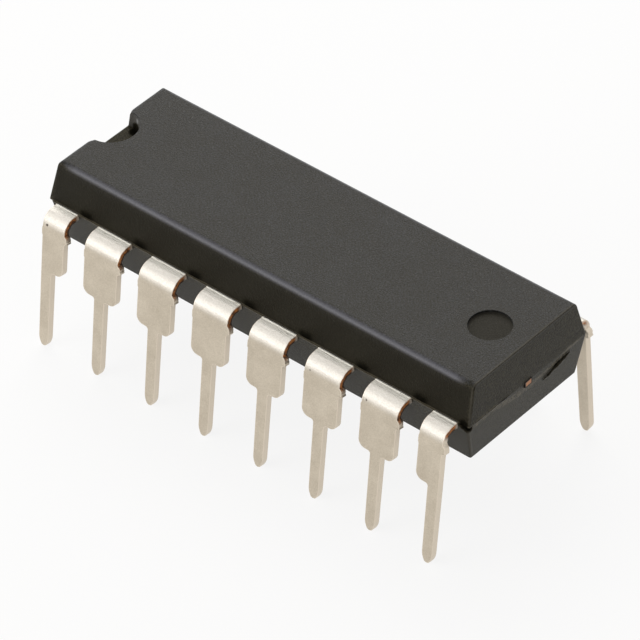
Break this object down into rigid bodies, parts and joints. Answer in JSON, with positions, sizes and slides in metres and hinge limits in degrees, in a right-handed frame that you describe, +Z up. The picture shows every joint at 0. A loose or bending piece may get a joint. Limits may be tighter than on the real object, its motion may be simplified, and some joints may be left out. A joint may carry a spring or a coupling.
{
  "type": "dual in-line integrated circuit",
  "caption": "Black moulded integrated circuit package with two rows of tinned, bent leads, an end notch and a round mark on top.",
  "frame": {"origin": "middle of the body in plan, on the plane that the lead tips stand on", "axes": "+X along the body away from the end notch, +Z up out of the top face, and the first row of leads on the -Y side"},
  "size_m": [0.0192, 0.0089, 0.0071],
  "materials": {
    "epoxy": "fine matt moulded epoxy",
    "tinned_lead": "dull tin plate",
    "copper": "bare copper alloy",
    "silver_adhesive": "cured silver-filled adhesive",
    "silicon": "polished silicon",
    "gold_wire": "drawn gold wire"
  },
  "bodies": {
    "root": {"moulded_body": "epoxy", "lead_01": "tinned_lead", "lead_02": "tinned_lead", "lead_03": "tinned_lead", "lead_04": "tinned_lead", "lead_05": "tinned_lead", "lead_06": "tinned_lead", "lead_07": "tinned_lead", "lead_08": "tinned_lead", "lead_09": "tinned_lead", "lead_10": "tinned_lead", "lead_11": "tinned_lead", "lead_12": "tinned_lead", "lead_13": "tinned_lead", "lead_14": "tinned_lead", "lead_15": "tinned_lead", "lead_16": "tinned_lead", "die_pad": "copper", "die_attach": "silver_adhesive", "silicon_die": "silicon", "bond_wire_01": "gold_wire", "bond_wire_02": "gold_wire", "bond_wire_03": "gold_wire", "bond_wire_04": "gold_wire", "bond_wire_05": "gold_wire", "bond_wire_06": "gold_wire", "bond_wire_07": "gold_wire", "bond_wire_08": "gold_wire", "bond_wire_09": "gold_wire", "bond_wire_10": "gold_wire", "bond_wire_11": "gold_wire", "bond_wire_12": "gold_wire", "bond_wire_13": "gold_wire", "bond_wire_14": "gold_wire", "bond_wire_15": "gold_wire", "bond_wire_16": "gold_wire"}
  },
  "joints": []
}
